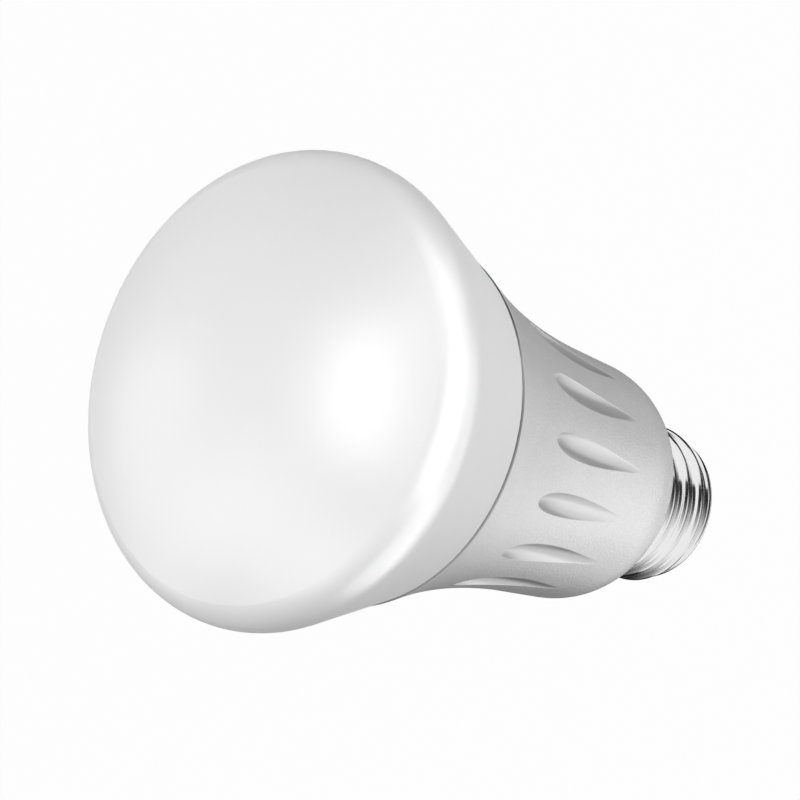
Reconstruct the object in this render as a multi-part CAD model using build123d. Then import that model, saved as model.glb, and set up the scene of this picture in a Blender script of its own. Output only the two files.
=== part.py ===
from build123d import *
import math
import os

# Reflector bulb. Sizes are in millimetres and degrees. The bulb's axis is Z: the face of the tip
# contact lies at the origin, and the domed face of the diffuser looks along +Z.

# Diffuser: domed face, round shoulder, tapered flank, and a neck that plugs into the housing
diffuser_diameter = 80.0
diffuser_height = 37.8
face_radius = 76.0
shoulder_radius = 6.5
neck_length = 6.0
neck_clearance = 0.1

# Seam: the diffuser stands on the housing's rim and leaves a narrow groove open at the outside
seam_diameter = 63.1
groove_height = 0.5
groove_depth = 1.0
rim_wall = 3.2
rim_chamfer = 0.25

# Housing: concave flare, straight waist and round nose, from the seam down to the cap
flare_length = 41.0
waist_top_diameter = 42.2
waist_length = 9.4
waist_bottom_diameter = 40.6
nose_length = 10.5
nose_overhang = 0.8

# Teardrop scoops round the waist: the round end looks to the diffuser, the tip to the cap. Each is cut
# by a round-nosed cutter that starts at the wall at the round end and rises out of it towards the tip.
scoop_count = 15
scoop_length = 28.4
scoop_tip_rise = 5.4
cutter_radius = 3.5
cutter_nose_length = 21.0
cutter_start_lift = 0.1
cutter_overrun = 4.0

# Screw shell: round rolled thread between a plain skirt and a turned-in lip
thread_diameter = 26.4
thread_pitch = 3.629
thread_depth = 1.1
thread_floor = 0.08
thread_overlap = 0.05
thread_sink = 0.25
thread_run_out = 2.6
thread_start_angle = 200.0
shell_length = 15.4
shell_wall = 0.6
shell_corner_radius = 2.0
skirt_step = 0.1
skirt_height = 2.2
plug_clearance = 0.1
plug_end_gap = 0.2

# Insulating cone and tip contact
insulator_height = 4.8
insulator_top_radius = 9.3
insulator_tip_radius = 5.6
insulator_flange = 2.0
insulator_clearance = 0.1
contact_radius = 4.8
contact_thickness = 1.4
contact_edge_radius = 0.7
stem_radius = 1.5
stem_length = 4.0
stem_clearance = 0.05

# Heights along the axis, from the tip upwards
shell_bottom = contact_thickness + insulator_height
flange_bottom = shell_bottom + shell_wall
flange_top = flange_bottom + insulator_flange
shell_top = shell_bottom + shell_length
waist_bottom = shell_top + nose_length
waist_top = waist_bottom + waist_length
seam = waist_top + flare_length
face_top = seam + diffuser_height

# Radii that more than one piece takes
seam_radius = seam_diameter / 2
socket_radius = seam_radius - rim_wall
thread_crest = thread_diameter / 2
thread_root = thread_crest - thread_depth
skirt_radius = thread_crest + skirt_step
shell_bore = thread_root - shell_wall
lip_radius = insulator_top_radius + insulator_clearance


def turned(*outline):
    """Turn a closed outline of radius and height once round the axis of the bulb."""
    return revolve(Plane.XZ * make_face(outline), Axis.Z)


def make_diffuser():
    # The shoulder arc touches the face arc from inside, and the flank is a tangent to the shoulder
    face_centre = Vector(0, face_top - face_radius)
    shoulder_reach = diffuser_diameter / 2 - shoulder_radius
    face_spread = math.asin(shoulder_reach / (face_radius - shoulder_radius))
    shoulder_drop = (face_radius - shoulder_radius) * math.cos(face_spread)
    shoulder_centre = face_centre + Vector(shoulder_reach, shoulder_drop)
    edge = Vector(seam_radius, seam + groove_height)
    to_edge = edge - shoulder_centre
    flank_angle = math.atan2(to_edge.Y, to_edge.X) + math.acos(shoulder_radius / to_edge.length)

    spread = math.degrees(face_spread)
    turn = math.degrees(flank_angle) - 90 + spread
    face = CenterArc(face_centre, face_radius, 90, -spread)
    shoulder = CenterArc(shoulder_centre, shoulder_radius, 90 - spread, turn)
    groove_radius = seam_radius - groove_depth
    neck_radius = socket_radius - neck_clearance
    neck_end = seam - neck_length
    rest = Polyline(
        shoulder @ 1,
        edge,
        (groove_radius, seam + groove_height),
        (groove_radius, seam),
        (neck_radius, seam),
        (neck_radius, neck_end),
        (0, neck_end),
        (0, face_top),
    )
    return turned(face, shoulder, rest)


def make_housing():
    waist_low = Vector(waist_bottom_diameter / 2, waist_bottom)
    waist_high = Vector(waist_top_diameter / 2, waist_top)
    along_waist = waist_high - waist_low
    nose = TangentArc(waist_low, (skirt_radius + nose_overhang, shell_top), tangent=-along_waist)
    flare = TangentArc(waist_high, (seam_radius, seam - rim_chamfer), tangent=along_waist)
    socket_floor = seam - neck_length - neck_clearance
    plug_radius = shell_bore - plug_clearance
    plug_end = flange_top + plug_end_gap
    rest = Polyline(
        flare @ 1,
        (seam_radius - rim_chamfer, seam),
        (socket_radius, seam),
        (socket_radius, socket_floor),
        (0, socket_floor),
        (0, plug_end),
        (plug_radius, plug_end),
        (plug_radius, shell_top),
        nose @ 1,
    )
    body = turned(nose, Line(waist_low, waist_high), flare, rest)
    scoop = make_scoop(body)
    return body - [scoop.rotate(Axis.Z, 360 / scoop_count * k) for k in range(scoop_count)]


def surface_point(body, height):
    """Outermost point of the body at a height, on the +X side."""
    hits = body.find_intersection_points(Axis((0, 0, height), (1, 0, 0)))
    return max((point for point, normal in hits), key=lambda point: point.X)


def make_scoop(body):
    """Round-nosed cutter of one scoop: its axis leaves the wall by its own radius at the tip."""
    tip_height = waist_bottom + scoop_tip_rise
    tip = surface_point(body, tip_height) + Vector(cutter_radius, 0, 0)
    start = surface_point(body, tip_height + scoop_length) + Vector(cutter_start_lift, 0, 0)
    along = tip - start
    end = along.length + cutter_overrun
    nose = EllipticalCenterArc(
        (cutter_nose_length, 0), cutter_nose_length, cutter_radius, start_angle=90, arc_size=90
    )
    shank = Polyline((cutter_nose_length, cutter_radius), (end, cutter_radius), (end, 0), (0, 0))
    plane = Plane(origin=start, x_dir=along, z_dir=(0, 1, 0))
    return revolve(plane * make_face([nose, shank]), Axis(start, along))


def make_screw_shell():
    thread_bottom = shell_bottom + shell_corner_radius
    floor_radius = thread_root + thread_floor
    skirt_bottom = shell_top - skirt_height
    slope_bottom = skirt_bottom - (skirt_radius - floor_radius)
    corner = TangentArc(
        (floor_radius - shell_corner_radius, shell_bottom), (floor_radius, thread_bottom), tangent=(1, 0)
    )
    rest = Polyline(
        corner @ 1,
        (floor_radius, slope_bottom),
        (skirt_radius, skirt_bottom),
        (skirt_radius, shell_top),
        (shell_bore, shell_top),
        (shell_bore, flange_bottom),
        (lip_radius, flange_bottom),
        (lip_radius, shell_bottom),
        corner @ 0,
    )
    return turned(corner, rest) + make_thread(thread_bottom, floor_radius)


def make_thread(bottom, floor_radius):
    """Turns of a ridge with equal crest and root arcs, faded out at the lower end of the thread."""
    rounding = ((thread_pitch / 2) ** 2 + thread_depth**2) / (4 * thread_depth)
    foot_radius = floor_radius - thread_overlap
    foot_angle = math.acos(1 - (foot_radius - thread_root) / rounding)
    half_width = thread_pitch / 2 - rounding * math.sin(foot_angle)
    flank_radius = thread_crest - thread_depth / 2
    sunk_radius = foot_radius - thread_sink
    crest = ThreePointArc(
        (flank_radius, -thread_pitch / 4), (thread_crest, 0), (flank_radius, thread_pitch / 4)
    )
    upper_root = TangentArc(crest @ 1, (foot_radius, half_width), tangent=crest % 1)
    lower_root = TangentArc(crest @ 0, (foot_radius, -half_width), tangent=-(crest % 0))
    inside = Polyline(
        upper_root @ 1, (sunk_radius, half_width), (sunk_radius, -half_width), lower_root @ 1
    )
    section = Plane.XZ * make_face([crest, upper_root, inside, lower_root])
    start = bottom - half_width
    top = shell_top - skirt_height / 2
    path = Helix(thread_pitch, thread_pitch, thread_crest, center=(0, 0, start))
    one_turn = sweep(Pos(0, 0, start) * section, path, is_frenet=True).rotate(Axis.Z, thread_start_angle)
    turn_count = math.ceil((top + half_width - start) / thread_pitch)
    fade = turned(
        Polyline(
            (0, bottom),
            (floor_radius, bottom),
            (skirt_radius, bottom + thread_run_out),
            (skirt_radius, top),
            (0, top),
            close=True,
        )
    )
    return [Pos(0, 0, thread_pitch * k) * one_turn & fade for k in range(turn_count)]


def make_cap_insulator():
    hole_radius = stem_radius + stem_clearance
    hole_end = contact_thickness + stem_length + stem_clearance
    flange_radius = shell_bore - insulator_clearance
    return turned(
        Polyline(
            (hole_radius, contact_thickness),
            (insulator_tip_radius, contact_thickness),
            (insulator_top_radius, shell_bottom),
            (insulator_top_radius, flange_bottom),
            (flange_radius, flange_bottom),
            (flange_radius, flange_top),
            (0, flange_top),
            (0, hole_end),
            (hole_radius, hole_end),
            close=True,
        )
    )


def make_tip_contact():
    rim = TangentArc(
        (contact_radius - contact_edge_radius, 0), (contact_radius, contact_edge_radius), tangent=(1, 0)
    )
    stem_end = contact_thickness + stem_length
    rest = Polyline(
        rim @ 1,
        (contact_radius, contact_thickness),
        (stem_radius, contact_thickness),
        (stem_radius, stem_end),
        (0, stem_end),
        (0, 0),
        rim @ 0,
    )
    return turned(rim, rest)


pieces = {
    "diffuser": make_diffuser(),
    "housing": make_housing(),
    "screw_shell": make_screw_shell(),
    "cap_insulator": make_cap_insulator(),
    "tip_contact": make_tip_contact(),
}

os.makedirs("parts", exist_ok=True)
for name, piece in pieces.items():
    export_step(piece, f"parts/{name}.step")
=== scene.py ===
import math

import bmesh
import bpy
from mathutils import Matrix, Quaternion, Vector

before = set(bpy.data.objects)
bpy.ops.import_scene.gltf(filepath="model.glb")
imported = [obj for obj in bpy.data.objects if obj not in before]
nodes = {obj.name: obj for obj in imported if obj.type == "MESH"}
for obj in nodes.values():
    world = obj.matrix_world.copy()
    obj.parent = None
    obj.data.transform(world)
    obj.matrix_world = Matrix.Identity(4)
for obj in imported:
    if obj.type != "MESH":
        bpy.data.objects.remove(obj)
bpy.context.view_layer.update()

print("frame loaded:", sorted(nodes))


class Wire:  # one socket of a shader tree, so that shader maths reads as sums
    def __init__(self, tree, socket=None):
        self.tree = tree
        self.socket = socket

    def node(self, kind, settings=None, sockets=None, output=0):  # any node: settings first, then sockets
        made = self.tree.nodes.new(kind)
        for name, value in (settings or {}).items():
            setattr(made, name, value)
        for name, value in (sockets or {}).items():
            join(pick(made.inputs, name), value)
        return Wire(self.tree, pick(made.outputs, output))

    def sum(self, operation, first, second=0.0):
        return self.node("ShaderNodeMath", {"operation": operation}, {0: first, 1: second})

    def __add__(self, other):
        return self.sum("ADD", self, other)

    __radd__ = __add__

    def __sub__(self, other):
        return self.sum("SUBTRACT", self, other)

    def __rsub__(self, other):
        return self.sum("SUBTRACT", other, self)

    def __mul__(self, other):
        return self.sum("MULTIPLY", self, other)

    __rmul__ = __mul__


def pick(sockets, name):  # by place or by name; a Mix node has unused sockets of the same names
    if isinstance(name, int):
        return sockets[name]
    return next(socket for socket in sockets if socket.name == name and socket.enabled)


def join(socket, value):  # a link from a wire, or a plain value
    if isinstance(value, Wire):
        value.tree.links.new(value.socket, socket)
    else:
        socket.default_value = value


def plug(shader, sockets):  # values or wires into the shader's own sockets
    for name, value in sockets.items():
        join(shader.inputs[name], value)


def bareFinish(name):  # a material, its shader, and a wire to start nodes from
    material = bpy.data.materials.new(name)
    material.use_nodes = True
    tree = material.node_tree
    shader = next(node for node in tree.nodes if node.type == "BSDF_PRINCIPLED")
    return material, shader, Wire(tree)


def startFinish(name):  # a material, its shader, and its Object coordinates
    material, shader, start = bareFinish(name)
    return material, shader, start.node("ShaderNodeTexCoord", output="Object")


def noise(place, size, detail=2.0, roughness=0.5):  # 0 to 1, with features about size metres apart
    sockets = {"Vector": place, "Scale": 1.0 / size, "Detail": detail, "Roughness": roughness}
    return place.node("ShaderNodeTexNoise", None, sockets)


def ramp(value, start, full, kind="LINEAR"):  # 0 to 1 as the value goes from start to full
    sockets = {"Value": value, "From Min": start, "From Max": full}
    return value.node("ShaderNodeMapRange", {"interpolation_type": kind}, sockets)


def bump(height, strength, depth):  # depth in metres
    return height.node("ShaderNodeBump", None, {"Height": height, "Strength": strength, "Distance": depth})


def grey(level):
    return level, level, level, 1.0


def shaded(colour, mask, other):  # a colour that turns to another as the mask goes from 0 to 1
    ends = {"Factor": mask, "A": colour, "B": other}
    return mask.node("ShaderNodeMix", {"data_type": "RGBA"}, ends, output="Result")


def between(factor, low, high):  # the grey from low to high as factor goes from 0 to 1
    return shaded(grey(low), factor, grey(high))


def axisWires(place):  # radius from the axis, and height
    parts = place.node("ShaderNodeSeparateXYZ", None, {"Vector": place}).socket.node.outputs
    x, y, z = (Wire(place.tree, parts[axis]) for axis in "XYZ")
    return place.sum("SQRT", x * x + y * y), z


# The groove between the diffuser and the housing gets painted shade: a grey that darkens towards +X.
seam = {
    "low": 0.0822, "high": 0.08305, "radius": 0.0315,  # heights and outer radius of the band of painted shade
    "pale": 0.45, "dark": 0.1, "side": (0.018, 0.024),  # the painted shade goes from pale to dark between these places on X
}


def paintedSeamShadeMask(place):  # 1 on the walls of the groove between the diffuser and the housing, where shade is painted
    radius, z = axisWires(place)
    inside = place.sum("LESS_THAN", radius, seam["radius"])
    above = place.sum("GREATER_THAN", z, seam["low"])
    below = place.sum("LESS_THAN", z, seam["high"])
    return inside * above * below


def paintedSeamShade(place):  # painted shade for the groove, darkest on its +X side
    x = place.node("ShaderNodeSeparateXYZ", None, {"Vector": place}, output="X")
    start, full = seam["side"]
    return between(ramp(x, start, full), seam["pale"], seam["dark"])


opal = {
    "pale": 0.86, "deep": 0.82, "cloud": 0.03,
    "gloss": 0.28, "glossSpread": 0.03, "sheen": 0.05, "specular": 0.0,  # even, with no bright rim
    "grain": 0.0004, "grainStrength": 0.05, "grainDepth": 0.00002,
}


def opalFinish():
    material, shader, place = startFinish("opalMoulding")
    cloud = noise(place, opal["cloud"])
    grain = noise(place, opal["grain"], detail=1.0)
    colour = between(cloud, opal["deep"], opal["pale"])
    plug(shader, {
        # painted shade in the seam groove
        "Base Color": shaded(colour, paintedSeamShadeMask(place), paintedSeamShade(place)),
        "Roughness": opal["gloss"] + cloud * opal["glossSpread"],
        "Normal": bump(grain, opal["grainStrength"], opal["grainDepth"]),
        "Metallic": opal["sheen"],
        "Specular IOR Level": opal["specular"],
    })
    return material


# The housing's wall is an arc above a straight waist: radius, reach from the axis and height place the arc,
# foot is the height where the waist begins and slope is its taper.
flare = {"radius": 0.1272, "reach": 0.14784, "height": 0.03071, "foot": 0.0415, "slope": 0.0851}
scoop = {"edge": 0.00002, "full": 0.0001, "lowest": 0.0365}  # two depths, and a height under the tips


def scoopMask(place):  # 1 in the scoops, which lie deeper than the wall round them; it sets their finer satin and their painted shade
    radius, z = axisWires(place)
    level = place.sum("MAXIMUM", z, flare["foot"]) - flare["height"]
    arc = flare["reach"] - place.sum("SQRT", flare["radius"] ** 2 - level * level)
    wall = arc + place.sum("MINIMUM", z - flare["foot"], 0.0) * flare["slope"]
    deep = ramp(wall - radius, scoop["edge"], scoop["full"])
    return deep * place.sum("GREATER_THAN", z, scoop["lowest"])


silver = {
    "pale": 0.84, "deep": 0.74, "mottle": 0.004, "metal": 0.42, "specular": 0.25,
    "satin": 0.38, "satinSpread": 0.06,
    "grain": 0.00042, "grainRange": (0.32, 0.68), "grainShare": 0.5,  # share of the grain in the colour
    "grainStrength": 0.6, "grainDepth": 0.00004,
    "scoopShadeGrey": 0.66, "scoopSatin": 0.28, "scoopMetal": 0.55,  # in the scoops the satin is finer and a little shinier, and their grey is painted darker as shade in the hollows
}


def silverFinish():
    material, shader, place = startFinish("satinSilver")
    speckle = noise(place, silver["grain"], detail=1.0, roughness=0.6)
    grain = ramp(speckle, *silver["grainRange"])
    mottle = noise(place, silver["mottle"], detail=3.0)
    smoothAndShaded = scoopMask(place)
    rough = 1.0 - smoothAndShaded
    share = silver["grainShare"]
    colour = between(grain * share + mottle * (1.0 - share), silver["deep"], silver["pale"])
    # painted shade in the scoops: a darker grey in the hollows
    colour = shaded(colour, smoothAndShaded, grey(silver["scoopShadeGrey"]))
    satin = silver["satin"] + smoothAndShaded * (silver["scoopSatin"] - silver["satin"])
    plug(shader, {
        # painted shade in the seam groove
        "Base Color": shaded(colour, paintedSeamShadeMask(place), paintedSeamShade(place)),
        "Metallic": silver["metal"] + smoothAndShaded * (silver["scoopMetal"] - silver["metal"]),
        "Specular IOR Level": silver["specular"],
        "Roughness": satin + mottle * silver["satinSpread"],
        "Normal": bump(grain * rough, silver["grainStrength"], silver["grainDepth"]),
    })
    return material


plating = {"pale": 0.86, "deep": 0.8, "smear": 0.006, "gloss": 0.1, "glossSpread": 0.08}


def platingFinish():
    material, shader, place = startFinish("brightPlating")
    smear = noise(place, plating["smear"], detail=4.0)
    plug(shader, {
        "Base Color": between(smear, plating["deep"], plating["pale"]),
        "Metallic": 1.0,
        "Roughness": plating["gloss"] + smear * plating["glossSpread"],
    })
    return material


insulator = {"pale": 0.03, "deep": 0.015, "cloud": 0.003, "gloss": 0.28, "glossSpread": 0.1}


def insulatorFinish():
    material, shader, place = startFinish("blackInsulator")
    cloud = noise(place, insulator["cloud"], detail=3.0)
    plug(shader, {
        "Base Color": between(cloud, insulator["deep"], insulator["pale"]),
        "Roughness": insulator["gloss"] + cloud * insulator["glossSpread"],
    })
    return material


contact = {
    "pale": 0.72, "deep": 0.55, "cloud": 0.0012, "gloss": 0.28, "glossSpread": 0.2,
    "dentStrength": 0.2, "dentDepth": 0.0001,
}


def contactFinish():
    material, shader, place = startFinish("tinnedContact")
    cloud = noise(place, contact["cloud"], detail=4.0)
    plug(shader, {
        "Base Color": between(cloud, contact["deep"], contact["pale"]),
        "Metallic": 1.0,
        "Roughness": contact["gloss"] + cloud * contact["glossSpread"],
        "Normal": bump(cloud, contact["dentStrength"], contact["dentDepth"]),
    })
    return material


finishes = {
    "diffuser": opalFinish(),
    "housing": silverFinish(),
    "screw_shell": platingFinish(),
    "cap_insulator": insulatorFinish(),
    "tip_contact": contactFinish(),
}
for name, material in finishes.items():
    for slot in nodes[name].material_slots:
        slot.material = material
print("finishes set:", len(finishes))


def addSheet(name, sheet, material):  # a flat bmesh becomes an object of the scene
    mesh = bpy.data.meshes.new(name)
    sheet.to_mesh(mesh)
    sheet.free()
    mesh.materials.append(material)
    piece = bpy.data.objects.new(name, mesh)
    bpy.context.scene.collection.objects.link(piece)
    return piece


def seenWhite(start):  # 1 for rays that show the white ground: camera, gloss and clear parts
    path = start.node("ShaderNodeLightPath", output="Is Camera Ray")
    rays = path.socket.node.outputs
    gloss = Wire(start.tree, rays["Is Glossy Ray"])
    clear = Wire(start.tree, rays["Is Transmission Ray"])
    return path.sum("MAXIMUM", path, path.sum("MAXIMUM", gloss, clear))


# glow is the white share of the floor; the rest is shaded and keeps the shadow
floor = {"drop": 0.35, "size": 8.0, "pale": 0.95, "rough": 0.9, "glow": 0.97}


def makeFloor():
    sheet = bmesh.new()
    bmesh.ops.create_grid(sheet, x_segments=1, y_segments=1, size=floor["size"] / 2)
    bmesh.ops.translate(sheet, verts=sheet.verts, vec=(0, 0, -floor["drop"]))
    material, shader, start = bareFinish("paleFloor")
    plug(shader, {
        "Base Color": grey(floor["pale"]), "Roughness": floor["rough"], "Specular IOR Level": 0.0,
    })
    plain = Wire(start.tree, shader.outputs[0])
    glow = start.node("ShaderNodeEmission", None, {"Color": grey(1.0), "Strength": 1.0})
    share = seenWhite(start) * floor["glow"]
    mixed = start.node("ShaderNodeMixShader", None, {0: share, 1: plain, 2: glow})
    output = next(node for node in start.tree.nodes if node.type == "OUTPUT_MATERIAL")
    join(output.inputs["Surface"], mixed)
    piece = addSheet("floor", sheet, material)


room = {"ground": 1.0, "fill": 0.35}  # ground is the white that shows, fill is the light on the pieces


def makeWorld():
    world = bpy.data.worlds.new("studio")
    bpy.context.scene.world = world
    world.use_nodes = True
    world.node_tree.nodes.clear()
    start = Wire(world.node_tree)
    ground = start.node("ShaderNodeBackground", None, {"Color": grey(1.0), "Strength": room["ground"]})
    light = start.node("ShaderNodeBackground", None, {"Color": grey(1.0), "Strength": room["fill"]})
    mixed = start.node("ShaderNodeMixShader", None, {0: seenWhite(start), 1: light, 2: ground})
    output = start.tree.nodes.new("ShaderNodeOutputWorld")
    join(output.inputs["Surface"], mixed)


def heading(azimuth, elevation):  # degrees, azimuth from +X
    turn = math.radians(azimuth)
    lift = math.radians(elevation)
    return Vector((math.cos(lift) * math.cos(turn), math.cos(lift) * math.sin(turn), math.sin(lift)))


# A lamp stands at its reach from aim. onto names the nodes that it lights, and none means all of them.
# It shows in their gloss, in their plain tone or in both. The notes say where it shows in the main view.
aim = Vector((0.0, 0.0, 0.075))
lamps = {
    "topSoftbox": {  # bright oval on the face
        "azimuth": 22, "elevation": 85, "reach": 1.0, "size": (0.34, 0.56), "power": 3.7,
        "onto": (), "shows": "both",
    },
    "topGlow": {  # halo round the oval
        "azimuth": -25, "elevation": 77, "reach": 1.0, "size": (0.68, 0.8), "power": 3.4,
        "onto": ("diffuser",), "shows": "gloss",
    },
    "lowerSheen": {  # lower right edge of the face
        "azimuth": -136, "elevation": 43, "reach": 1.0, "size": (1.3, 0.9), "power": 6.4,
        "onto": ("diffuser",), "shows": "gloss",
    },
    "backTone": {  # the face as a whole
        "azimuth": 100, "elevation": 62, "reach": 1.0, "size": (0.8, 0.8), "power": 2.35,
        "onto": ("diffuser",), "shows": "tone",
    },
    "leftTone": {  # lower shoulder
        "azimuth": -110, "elevation": 20, "reach": 1.0, "size": (0.6, 0.6), "power": 1.3,
        "onto": ("diffuser",), "shows": "tone",
    },
    "frontKey": {  # flank
        "azimuth": -52, "elevation": -18, "reach": 0.8, "size": (0.7, 0.26), "power": 2.55,
        "onto": ("diffuser",), "shows": "tone",
    },
    "wallKey": {  # near wall of the housing
        "azimuth": -55, "elevation": 5, "reach": 1.0, "size": (0.9, 0.35), "power": 5.9,
        "onto": ("housing",), "shows": "tone",
    },
    "backKey": {  # far side of the flank and the housing
        "azimuth": 122, "elevation": -22, "reach": 0.7, "size": (0.9, 0.25), "power": 0.9,
        "onto": ("housing", "diffuser"), "shows": "tone",
    },
    "frontSheen": {  # bright streak on the shoulder
        "azimuth": -75, "elevation": 15, "reach": 1.0, "size": (1.3, 1.3), "power": 34.0,
        "onto": ("diffuser",), "shows": "gloss",
    },
    "rightSheen": {  # upper end of the streak
        "azimuth": -14, "elevation": 37, "reach": 1.0, "size": (0.6, 0.64), "power": 4.9,
        "onto": ("diffuser",), "shows": "gloss",
    },
    "edgeSheen": {  # outer edge of the upper end
        "azimuth": -25, "elevation": 8, "reach": 1.0, "size": (0.5, 0.8), "power": 5.4,
        "onto": ("diffuser",), "shows": "gloss",
    },
    "lowSheen": {  # lower end of the streak
        "azimuth": -132, "elevation": -20, "reach": 0.7, "size": (0.7, 0.9), "power": 12.5,
        "onto": ("diffuser",), "shows": "gloss",
    },
    "leftSheen": {  # left part of the face
        "azimuth": 117, "elevation": 26, "reach": 1.0, "size": (0.8, 0.6), "power": 3.7,
        "onto": ("diffuser",), "shows": "gloss",
    },
    "cornerSheen": {  # bottom of the face
        "azimuth": 156, "elevation": 53, "reach": 1.0, "size": (0.8, 0.5), "power": 3.4,
        "onto": ("diffuser",), "shows": "gloss",
    },
    "shoulderSheen": {  # soft outer side of the streak
        "azimuth": -96, "elevation": -42, "reach": 0.45, "size": (0.95, 0.3), "power": 4.1,
        "onto": ("diffuser",), "shows": "gloss",
    },
    "flankSheen": {  # upper flank
        "azimuth": 90, "elevation": -60, "reach": 0.35, "size": (0.4, 0.2), "power": 0.08,
        "onto": ("diffuser",), "shows": "gloss",
    },
    "wallSheen": {  # nose of the housing
        "azimuth": -83, "elevation": -60, "reach": 0.38, "size": (0.34, 0.24), "power": 0.24,
        "onto": ("housing",), "shows": "gloss",
    },
}


def makeLamps():
    for name, plan in lamps.items():
        data = bpy.data.lights.new(name, "AREA")
        data.shape = "RECTANGLE"
        data.size, data.size_y = plan["size"]
        data.energy = plan["power"]
        lamp = bpy.data.objects.new(name, data)
        bpy.context.scene.collection.objects.link(lamp)
        away = heading(plan["azimuth"], plan["elevation"])
        lamp.location = aim + away * plan["reach"]
        lamp.rotation_mode = "QUATERNION"
        lamp.rotation_quaternion = (-away).to_track_quat("-Z", "Y")
        lamp.visible_diffuse = plan["shows"] != "gloss"
        lamp.visible_glossy = plan["shows"] != "tone"
        if plan["onto"]:
            chosen = bpy.data.collections.new(name)
            for target in plan["onto"]:
                chosen.objects.link(nodes[target])
            lamp.light_linking.receiver_collection = chosen


# Dark cards that show only in gloss, mostly in the plated cap. across and along are half sides, and fade
# is the share of the width that is soft at each end.
cardFinish = {"dark": 0.02, "rough": 0.8}
cards = {
    "gapPanel": {
        "centre": (0.26, -1.27, 0.55), "across": (0.94, 0.19, 0), "along": (0, 0, 0.85),
        "fade": (0.65, 0.08),
    },
    "gapRunner": {
        "centre": (0.42, -0.5, -0.3), "across": (0.26, 0.22, 0), "along": (0.4, -0.48, 0),
        "fade": (0.5, 0.2),
    },
    "highPanel": {
        "centre": (0.91, 0.85, 0.71), "across": (0.34, -0.36, 0), "along": (0, 0, 0.36),
        "fade": (0.3, 0.3),
    },
    "rightRunner": {
        "centre": (0.56, 0.22, -0.3), "across": (-0.11, 0.28, 0), "along": (0.37, 0.15, 0),
        "fade": (0.3, 0.3),
    },
    "backRunner": {
        "centre": (0, 0.8, -0.3), "across": (1.6, 0, 0), "along": (0, 0.72, 0),
        "fade": (0.05, 0.05),
    },
    "sideRunner": {
        "centre": (-0.79, 0.3, -0.3), "across": (0.74, 0, 0), "along": (0, 0.3, 0),
        "fade": (0.05, 0.2),
    },
    "backPanel": {
        "centre": (-0.2, 1.4, -0.03), "across": (1.6, 0, 0), "along": (0, 0, 0.27),
        "fade": (0.05, 0.05),
    },
    "sidePanel": {
        "centre": (-1.4, 0.05, 0.4), "across": (0, 1.25, 0), "along": (0, 0, 0.75),
        "fade": (0.8, 0.1),
    },
}


def cardShape(plan):
    sheet = bmesh.new()
    centre, across, along = (Vector(plan[key]) for key in ("centre", "across", "along"))
    ends = ((0, 0), (1, 0), (1, 1), (0, 1))
    spots = [centre + across * (2 * u - 1) + along * (2 * v - 1) for u, v in ends]
    face = sheet.faces.new([sheet.verts.new(spot) for spot in spots])
    layer = sheet.loops.layers.uv.new("sheet")
    for loop, end in zip(face.loops, ends):
        loop[layer].uv = end
    return sheet


def cardMaterial(name, fade):  # dark, and clear towards the two ends of its width
    material, shader, start = bareFinish(name)
    flat = start.node("ShaderNodeTexCoord", output="UV")
    u = flat.node("ShaderNodeSeparateXYZ", None, {"Vector": flat}, output="X")
    first, last = fade
    solid = ramp(u, 0.0, first, "SMOOTHSTEP") * ramp(1.0 - u, 0.0, last, "SMOOTHSTEP")
    plug(shader, {"Base Color": grey(cardFinish["dark"]), "Roughness": cardFinish["rough"], "Alpha": solid})
    return material


def makeCards():
    for name, plan in cards.items():
        card = addSheet(name, cardShape(plan), cardMaterial(name, plan["fade"]))
        card.visible_camera = False
        card.visible_diffuse = False
        card.visible_shadow = False


eye = {
    "azimuth": -85.55, "elevation": 48.95, "roll": -72.5, "distance": 2.464,
    "aim": (0.0042, 0.0003, 0.0776), "lens": 675.7, "sensor": 36.0,
}


def makeCamera():
    data = bpy.data.cameras.new("camera")
    data.sensor_width = eye["sensor"]
    data.lens = eye["lens"]
    camera = bpy.data.objects.new("camera", data)
    bpy.context.scene.collection.objects.link(camera)
    back = heading(eye["azimuth"], eye["elevation"])
    camera.location = Vector(eye["aim"]) + back * eye["distance"]
    camera.rotation_mode = "QUATERNION"
    roll = Quaternion((0, 0, 1), math.radians(eye["roll"]))
    camera.rotation_quaternion = (-back).to_track_quat("-Z", "Y") @ roll
    bpy.context.scene.camera = camera


makeFloor()
makeWorld()
makeLamps()
makeCards()
makeCamera()
bpy.context.scene.view_settings.view_transform = "Standard"
print("studio ready:", len(lamps), "lamps")
